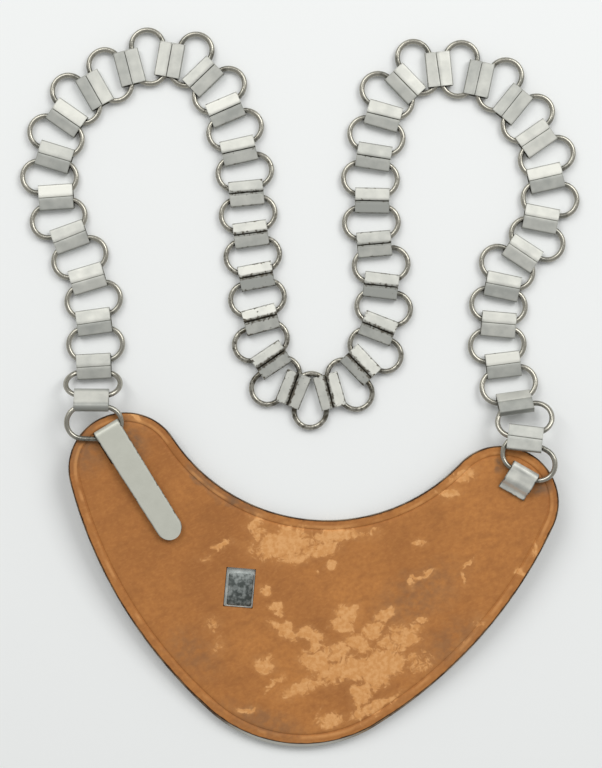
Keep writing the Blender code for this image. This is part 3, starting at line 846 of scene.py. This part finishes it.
def prong_width(distance, i):
    if i < POINTS_TO_UPPER_LEAF:
        return fold_width(PRONG_FOLD_WIDTH, i)
    body = PRONG_WIDTH - TAPER * (distance - TAPER_FROM) / (PRONG_LENGTH - TAPER_FROM)
    past = distance - tip_start
    return body if past <= 0 else body * math.sqrt(max(0.0, 1 - (past / TIP_RADIUS) ** 2))


prong_path = fold_path(PRONG_LEAF)
prong_path += dense_path([(AFTER_FOLD, UPPER_LEAF), (tip_start, prong_height(tip_start))])
for degrees in (8, 16, 24, 32, 40, 48, 55, 62, 68, 74, 79, 83, 87):
    distance = PRONG_LENGTH - TIP_RADIUS * (1 - math.sin(math.radians(degrees)))
    prong_path.append((distance, prong_height(distance)))
strip(
    "spring_prong", PRONG_FOLD, PRONG_HEADING, prong_path, prong_width,
    PRONG_WEAR, PRONG_PAINT, "long_prong",
)

# %% [markdown]
# ## The short tab
#
# The tab is closed round the chain's last ring for good. Its upper leaf is a short hump that
# steps down to a flat foot on the board, so its path has a smooth step at the end.

# %% The short tab
TAB_LEAF, TAB_LENGTH, TAB_WIDTH = 0.0077, 0.0101, 0.0096
TAB_WEAR = 0.7
HUMP_END, FOOT_START = 0.0061, 0.0091
# The step down: distance from the fold, and share of the way down to the foot
STEP_DOWN = (
    (0.0067, 0.04), (0.0072, 0.18), (0.0077, 0.45), (0.0081, 0.78), (0.0085, 0.95), (0.0089, 1),
)


def tab_width(distance, i):
    return fold_width(TAB_WIDTH, i)


tab_foot = BOARD_TOP + CLEARANCE + STRIP / 2
tab_path = fold_path(TAB_LEAF)
tab_path += dense_path([(AFTER_FOLD, UPPER_LEAF), (HUMP_END, UPPER_LEAF)])
tab_path += [(s, UPPER_LEAF - share * (UPPER_LEAF - tab_foot)) for s, share in STEP_DOWN]
tab_path += dense_path([(FOOT_START, tab_foot), (TAB_LENGTH, tab_foot)])
strip("folded_tab", TAB_FOLD, TAB_HEADING, tab_path, tab_width, TAB_WEAR, PLATE_PAINT, "short_tab")

# %% [markdown]
# ## The chain
#
# The chain is a book chain of sorts: long oval wire rings joined by strips of sheet, each folded
# flat round two rings with its ends meeting at a seam. Both shapes are made once for every place,
# with small differences, because hand-folded plates aren't all alike.
#
# The route is the row of plates in the solids. Each ring has a bar in each of two plates, so its
# place follows from theirs.

# %% The chain's route
CHAIN_ROUTE = (
    (-0.0759, 0.0342, 98), (-0.0770, 0.0453, 98), (-0.0783, 0.0602, 103), (-0.0817, 0.0745, 112),
    (-0.0889, 0.0879, 115), (-0.0947, 0.1008, 99), (-0.0964, 0.1142, 78), (-0.0935, 0.1277, 60),
    (-0.0850, 0.1378, 35), (-0.0740, 0.1464, 20), (-0.0608, 0.1501, -5), (-0.0491, 0.1455, -41),
    (-0.0406, 0.1350, -62), (-0.0349, 0.1218, -72), (-0.0311, 0.1078, -79), (-0.0284, 0.0942, -77),
    (-0.0253, 0.0803, -74), (-0.0225, 0.0660, -70), (-0.0178, 0.0528, -51), (-0.0096, 0.0436, -17),
    (0.0026, 0.0441, 21), (0.0122, 0.0538, 49), (0.0170, 0.0666, 74), (0.0167, 0.0809, 88),
    (0.0132, 0.0946, 100), (0.0112, 0.1091, 94), (0.0104, 0.1238, 86), (0.0124, 0.1378, 79),
    (0.0188, 0.1492, 49), (0.0296, 0.1550, 11), (0.0433, 0.1530, -7), (0.0553, 0.1456, -34),
    (0.0642, 0.1348, -50), (0.0686, 0.1218, -72), (0.0682, 0.1080, -96), (0.0631, 0.0959, -118),
    (0.0574, 0.0843, -97), (0.0572, 0.0714, -90), (0.0600, 0.0580, -78), (0.0648, 0.0456, -77),
    (0.0685, 0.0342, -93),
)
# Plates near the board are lifted: share of the height of a bar there, slope and lean in degrees
LIFTED_PLATES = {0: (0.94, -42, 5), 39: (0.45, 43, 0), 40: (1.04, 12, 8)}
TURNED_PLATES = (0,)
FIRST_RING = (-0.0742, 0.0267, 92)
LAST_RING = (0.0703, 0.0275, -113)
FIRST_PLATE_ON_THE_RIGHT = 15

# %% [markdown]
# ## Places in the chain
#
# Every piece of the chain has a middle, a heading, a slope and a lean. Most plates lie flat on the
# table. The ones by the board hang from its folds, so their height goes with a bar's height there.

# %% Where the plates go
WIRE_RADIUS = 0.000875
BAR_SPACING = 0.0108
PLATE_ROOM, PLATE_SHEET = 0.0019, 0.0007
PLATE_WIDTH, PLATE_LENGTH = 0.0115, 0.0086
PLATE_HALF = PLATE_ROOM / 2 + PLATE_SHEET


def bar_height(x):
    """Height of a ring's bar that lies in a fold over the board."""
    return bend_height(x) + LOWER_LEAF + FOLD_RADIUS


def placed(centre, heading, slope, lean):
    """The matrix of a piece: its middle, its heading, and how it slopes and leans, in degrees."""
    turn = Euler((math.radians(lean), -math.radians(slope), math.radians(heading)), "XYZ")
    return Matrix.Translation(centre) @ turn.to_matrix().to_4x4()


def turn_between(first, second):
    """The turn from one heading to the other, in degrees from -180 to 180."""
    return (second - first + 180) % 360 - 180


def bar_spot(place, reach):
    """Middle of a ring's bar that lies on the sheet inside a plate."""
    return placed(*place) @ Vector((reach, 0, WIRE_RADIUS - PLATE_ROOM / 2))


def slope_between(first, second):
    return math.degrees(math.asin((second.z - first.z) / BAR_SPACING))


plates = []
for i, (x, y, heading) in enumerate(CHAIN_ROUTE):
    height, slope, lean = PLATE_HALF, 0, 0
    if i in LIFTED_PLATES:
        share, slope, lean = LIFTED_PLATES[i]
        height = share * bar_height(x)
    plates.append((Vector((x, y, height)), heading, slope, lean))
print(len(plates), "folded plates")

# %% [markdown]
# ## Rings between the plates
#
# Each ring's two bars lie on the sheet inside two plates. The bars keep their distance, so a short
# loop slides them in their plates until it is right, and the ring then points from one bar to the
# other. Where the chain turns, the ring moves out a little, as slack rings do.

# %% Where the rings go
RING_REACH_AT_END = 0.0020
RING_SHIFT_PER_DEGREE = 0.000085


def ring_between(before, after):
    """The place of the ring that joins two plates."""
    reach = 0
    for _ in range(8):
        first, second = bar_spot(before, reach), bar_spot(after, -reach)
        reach += ((second - first).length - BAR_SPACING) / 2
    joined = second - first
    turn = turn_between(before[1], after[1])
    chord = math.degrees(math.atan2(joined.y, joined.x))
    heading = chord + turn_between(chord, before[1] + turn / 2) / 2
    left = Vector((-math.sin(math.radians(heading)), math.cos(math.radians(heading)), 0))
    middle = (first + second) / 2 - RING_SHIFT_PER_DEGREE * turn * left
    return middle, heading, slope_between(first, second), (before[3] + after[3]) / 2


def end_ring(place, plate, towards):
    """The place of a ring between a fold on the board and the plate next to it."""
    x, y, heading = place
    way = math.radians(heading)
    forward = Vector((math.cos(way), math.sin(way), 0))
    at_horn = Vector((x, y, 0)) - towards * BAR_SPACING / 2 * forward
    at_horn.z = bar_height(at_horn.x)
    in_plate = bar_spot(plate, -towards * RING_REACH_AT_END)
    slope = towards * slope_between(at_horn, in_plate)
    lean = math.degrees(math.asin(-math.sin(way) * x / CHEST_RADIUS))
    return Vector((x, y, (at_horn.z + in_plate.z) / 2)), heading, slope, lean


rings = [end_ring(FIRST_RING, plates[0], 1)]
rings += [ring_between(before, after) for before, after in zip(plates, plates[1:])]
rings.append(end_ring(LAST_RING, plates[-1], -1))
print(len(rings), "rings")

# %% [markdown]
# ## A folded plate
#
# The section is drawn in the plane along the chain, starting at one lip of the seam: over the top,
# round the fold, along the underside, and back inside. Both halves come from one function. The
# flaps slope down from the seam to the folds, each by its own five to ten degrees, which is what
# makes neighbouring plates catch the light differently.

# %% The section of a plate


def plate_section(seam_at, lip, drop, seam_edge):
    """Points (along, up, edge number) of one half, from its lip, and of the inside of that half."""
    half, top, room = PLATE_LENGTH / 2, PLATE_HALF, PLATE_ROOM / 2
    inner = half - PLATE_SHEET
    bend_at, bend_size = half - 0.0004, 0.0004
    fold_top = top - drop
    start_at = seam_at + lip
    right = [(start_at, top - 0.0002, seam_edge), (start_at + 0.0001, top - 0.00005, 0.9 * seam_edge)]
    right += [(start_at + 0.0005, top, 0.7 * seam_edge), (start_at + 0.0012, top - 0.25 * drop, 0)]
    right += [(half - 0.0009, fold_top + 0.15 * drop, 0), (bend_at, fold_top, 0.35)]
    for degrees in (30, 60, 90):
        a = math.radians(degrees)
        x, z = bend_at + bend_size * math.sin(a), fold_top - bend_size * (1 - math.cos(a))
        right.append((x, z, 0.65))
    right += [(half, 0, 0.5), (half - 0.0001, -top + 0.0008, 0.4), (half - 0.0005, -top + 0.0003, 0.4)]
    right += [(half - 0.0012, -top, 0.3), (half - 0.0022, -top, 0)]
    inside = [(0.0, -room, 2), (inner - 0.0003, -room, 2), (inner, -room + 0.0003, 2)]
    inside += [(inner, room - 0.0004, 2), (inner - 0.0004, room - 0.0001, 2), (start_at, room, 2)]
    return right, inside


print("plate section of", len(plate_section(0, 0, 0, 1)[0]), "points a half, and its inside")

# %% [markdown]
# ## Sweeping the plate
#
# The section goes across the plate in 13 stations. Noise, seeded by the plate's number, lets each
# plate differ: where its seam lies, how far its lips stand apart, how its flaps slope, how pale
# each flap is. The flap that faces the lamps is also painted paler, which is painted light. The
# lips wander, as the seam was closed by hand. The inside of a plate is always bare steel, so its
# edge number is over 1.

# %% Folded plates
STATIONS = 13
SEAM_ASIDE, SEAM_VARIES, SEAM_SKEW = 0.0002, 0.0003, 0.0004
FLAP_DROP, DROP_VARIES = 0.00042, 0.00020
LIP_GAP, WORN_LIP_GAP, LIP_WANDER = 0.00004, 0.00016, 0.00010
# Width of the painted shade by the folds of the turned plate
PAINTED_FOLD_SHADE = 0.0020


def add_plate(bm, layers, place, number, wear, turned):
    """Sweeps the section across one plate."""
    edge_layer, wear_layer, tone_layer = layers
    seed = Vector((number * 7.3, 1.7, 0.4))
    # The flap that faces the lamps is painted paler: painted light on top of each flap's random tone
    painted_flap_light = 0.25 * math.sin(math.radians(place[1]))
    tones = [0.28 + side * painted_flap_light + 0.6 * noise.noise(seed + Vector((side, 3, 6))) for side in (-1, 1)]
    seam_at = SEAM_VARIES * noise.noise(seed) - SEAM_ASIDE
    skew = SEAM_SKEW * noise.noise(seed + Vector((5, 0, 0)))
    drops = [FLAP_DROP + DROP_VARIES * noise.noise(seed + Vector((k, 9, 0))) for k in (1, 2)]
    matrix = Matrix.Translation(MIDDLE) @ placed(*place)
    if turned:
        matrix = matrix @ Matrix.Rotation(math.pi, 4, "X")
    rows = []
    seam_edge = 0.25 + 0.75 * wear
    for s in range(STATIONS):
        across = 2 * s / (STATIONS - 1) - 1
        end = s in (0, STATIONS - 1)
        wander = [LIP_WANDER * noise.noise(seed + Vector((across * 3, k * 4.0, 2))) for k in (1, 2)]
        lips = [LIP_GAP + WORN_LIP_GAP * wear + (0.2 + 0.5 * wear) * w for w in wander]
        middle = seam_at + skew * across
        right, inside_right = plate_section(middle, lips[1], drops[1], seam_edge)
        left, inside_left = plate_section(-middle, lips[0], drops[0], seam_edge)
        outer = right + [(-x, z, e) for x, z, e in reversed(left)]
        inner = [(-x, z, e) for x, z, e in reversed(inside_left)] + inside_right[1:]
        row = []
        for x, z, edge in outer + inner:
            vert = bm.verts.new(matrix @ Vector((x, across * PLATE_WIDTH / 2, z)))
            # On the turned plate, the paint by its rounded folds is darkened: painted shade
            in_painted_fold_shade = turned and abs(x) > PLATE_LENGTH / 2 - PAINTED_FOLD_SHADE
            vert[tone_layer] = -0.2 if in_painted_fold_shade else 0.6 if turned else tones[x > middle]
            vert[edge_layer] = max(edge, 0.5 if end else 0)
            vert[wear_layer] = wear
            row.append(vert)
        rows.append(row)
    for low, high in zip(rows, rows[1:]):
        for k in range(len(low)):
            bm.faces.new((low[k - 1], low[k], high[k], high[k - 1]))
    bm.faces.new(rows[0])
    bm.faces.new(rows[-1])


# %% [markdown]
# ## A wire ring
#
# A ring is round wire bent to a long oval with straight sides. The paint is worn most where the
# rings rub in the plates.

# %% Wire rings
RING_LENGTH = 0.0199
END_SIDES, WIRE_SIDES = 16, 14
RUBBED_TO, RUB_FADES_AT = 0.0065, 0.0091


def rub(off_middle):
    """The bars rub in the plates, most at their middle. The round ends are less worn."""
    return 0.35 + 0.65 * (1 - off_middle / RUB_FADES_AT) if off_middle < RUBBED_TO else 0.3


def add_ring(bm, layers, place, wear):
    """Sweeps the round wire section along the oval."""
    edge_layer, wear_layer, tone_layer = layers
    straight = RING_LENGTH / 2 - WIRE_RADIUS - BAR_SPACING / 2
    path = []
    for end in (1, -1):
        for i in range(END_SIDES + 1):
            angle = math.pi * i / END_SIDES
            x = end * BAR_SPACING / 2 * math.cos(angle)
            y = end * (straight + BAR_SPACING / 2 * math.sin(angle))
            path.append(Vector((x, y, 0)))
    matrix = Matrix.Translation(MIDDLE) @ placed(*place)
    up = Vector((0, 0, 1))
    rows = []
    for i, point in enumerate(path):
        way = (path[(i + 1) % len(path)] - path[i - 1]).normalized()
        out = way.cross(up)
        row = []
        for k in range(WIRE_SIDES):
            a = 2 * math.pi * k / WIRE_SIDES
            vert = bm.verts.new(matrix @ (point + WIRE_RADIUS * (math.cos(a) * out + math.sin(a) * up)))
            vert[edge_layer] = rub(abs(point.y))
            vert[wear_layer] = wear
            vert[tone_layer] = 0.4
            row.append(vert)
        rows.append(row)
    for i in range(len(rows)):
        low, high = rows[i - 1], rows[i]
        for k in range(WIRE_SIDES):
            bm.faces.new((low[k - 1], low[k], high[k], high[k - 1]))


print("wire rings of", END_SIDES * 2 + 2, "by", WIRE_SIDES, "points")

# %% [markdown]
# ## Both stretches of the chain
#
# The chain's solids are two nodes, so the dressed chain is two stretches as well. In each, all the
# plates are one object and all the rings another, because paint on sheet and on wire differ.

# %% Build both stretches of chain
MOST_WORN_PLATE, WEAR_SPREAD = 19, 7.5


def chain_wear(i):
    """The middle of the chain, which lies at the back of the neck, has lost the most paint."""
    return math.exp(-(((i - MOST_WORN_PLATE) / WEAR_SPREAD) ** 2))


def build_chain(side, first, last):
    """The plates and rings from the first to the one before the last. The end ring goes along."""
    plate_mesh, ring_mesh = bmesh.new(), bmesh.new()
    numbers = ("edge", "wear", "tone")
    plate_layers = [plate_mesh.verts.layers.float.new(name) for name in numbers]
    ring_layers = [ring_mesh.verts.layers.float.new(name) for name in numbers]
    for i in range(first, last):
        wear = min(1, chain_wear(i) + 0.25 * max(0, noise.noise(Vector((i * 3.1, 0, 0)))))
        add_plate(plate_mesh, plate_layers, plates[i], i, wear, i in TURNED_PLATES)
    for i in range(first, last + (last == len(plates))):
        add_ring(ring_mesh, ring_layers, rings[i], chain_wear(i))
    node = f"chain_{side}"
    finish_piece(plate_mesh, f"folded_plates_{side}", PLATE_PAINT, "silver_paint", node)
    finish_piece(ring_mesh, f"wire_rings_{side}", WIRE_PAINT, "silver_paint", node, smooth=60)


build_chain("left", 0, FIRST_PLATE_ON_THE_RIGHT)
build_chain("right", FIRST_PLATE_ON_THE_RIGHT, len(plates))

# %% [markdown]
# ## Table and light
#
# The photo's table is plain and nearly white, and its light is soft: two big lamps, with the one
# on the right stronger, so the prong's shadow falls to its left, and an even sky that fills the
# shadows. The view transform Standard keeps the white table as white as in the photo.

# %% Table, lamps and sky
bpy.ops.mesh.primitive_plane_add(size=6, location=(0, 0, 0))
table = bpy.context.object
table.name = "table"
paper, _, paper_shader, _ = start("matt white card", 0.85)
paper_shader.inputs["Base Color"].default_value = linear("#F1F3F2")
table.data.materials.append(paper)

for name, location, size, power in (
    ("left softbox", (-0.60, 0.75, 1.1), 0.9, 8.0),
    ("right softbox", (0.70, 0.70, 1.1), 0.8, 9.2),
):
    lamp = bpy.data.objects.new(name, bpy.data.lights.new(name, "AREA"))
    lamp.data.size = size
    lamp.data.energy = power
    lamp.location = location
    aim = Vector((0, 0, 0)) - lamp.location
    lamp.rotation_euler = aim.to_track_quat("-Z", "Y").to_euler()
    bpy.context.scene.collection.objects.link(lamp)

sky = bpy.data.worlds.new("soft room light")
sky.use_nodes = True
background = sky.node_tree.nodes["Background"]
background.inputs["Color"].default_value = linear("#FFFFFF")
background.inputs["Strength"].default_value = 0.41
bpy.context.scene.world = sky
bpy.context.scene.view_settings.view_transform = "Standard"
print("table, 2 lamps and a sky")

# %% [markdown]
# ## Camera
#
# The photo was taken from straight above, about 60 cm away, and turned by five degrees.

# %% Camera
camera = bpy.data.objects.new("camera", bpy.data.cameras.new("camera"))
camera.data.sensor_width = 36
camera.data.lens = 83.4
camera.location = (0.00589, 0.00068, 0.600)
camera.rotation_euler.z = 0.089
bpy.context.scene.collection.objects.link(camera)
bpy.context.scene.camera = camera
print("camera with a lens of", camera.data.lens, "mm")
